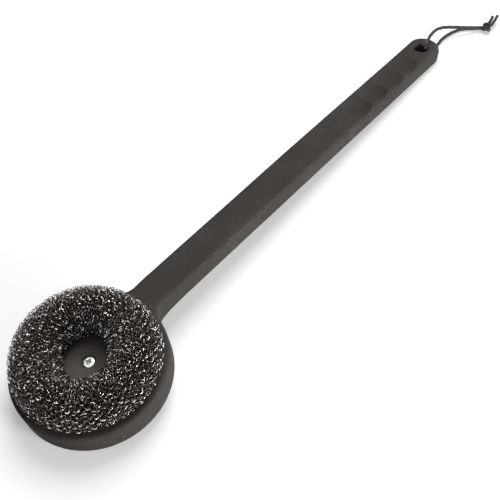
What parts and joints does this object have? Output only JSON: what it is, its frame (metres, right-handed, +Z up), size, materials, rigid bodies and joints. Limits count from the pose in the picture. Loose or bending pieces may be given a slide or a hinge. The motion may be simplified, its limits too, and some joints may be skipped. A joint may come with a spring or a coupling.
{
  "type": "grill brush",
  "caption": "Grill brush with a long charcoal plastic handle bent down from a round head, a knitted steel wire scourer held on by a screwed plate, and a cord loop for hanging.",
  "frame": {"origin": "middle of the footprint of handle and head on the floor they lie on", "axes": "+X from the round head to the tip of the grip, +Y across, +Z up; the brush lies on the outer rim of its head and on the tip of its grip, wire scourer up"},
  "size_m": [0.5301, 0.0924, 0.0503],
  "materials": {
    "moulding": "fine matt charcoal moulding",
    "plate": "smooth satin black",
    "screw_steel": "bright",
    "insert_brass": "turned",
    "wire_knit": null,
    "cord": "waxed black cord"
  },
  "bodies": {
    "handle": {"handle": "moulding", "thread_insert": "insert_brass", "hang_cord": "cord", "cord_knot": "cord", "cord_tail_a": "cord", "cord_tail_b": "cord"},
    "clamp": {"clamp_plate": "plate", "scourer_pad": "wire_knit"},
    "screw": {"clamp_screw": "screw_steel"}
  },
  "joints": [
    {"name": "clamp_lift", "type": "slide", "parent": "handle", "child": "clamp", "axis": [-0.1633, 0, 0.9866], "range_m": [0, 0.0091]},
    {"name": "screw_turn", "type": "hinge", "parent": "clamp", "child": "screw", "pos_m": [-0.18226, 0, 0.02406], "axis": [-0.1633, 0, 0.9866], "range_deg": [0, 4700]}
  ],
  "couplings": [
    {"joint": "screw_turn", "follows": "clamp_lift", "rad_per_m": 8976}
  ]
}
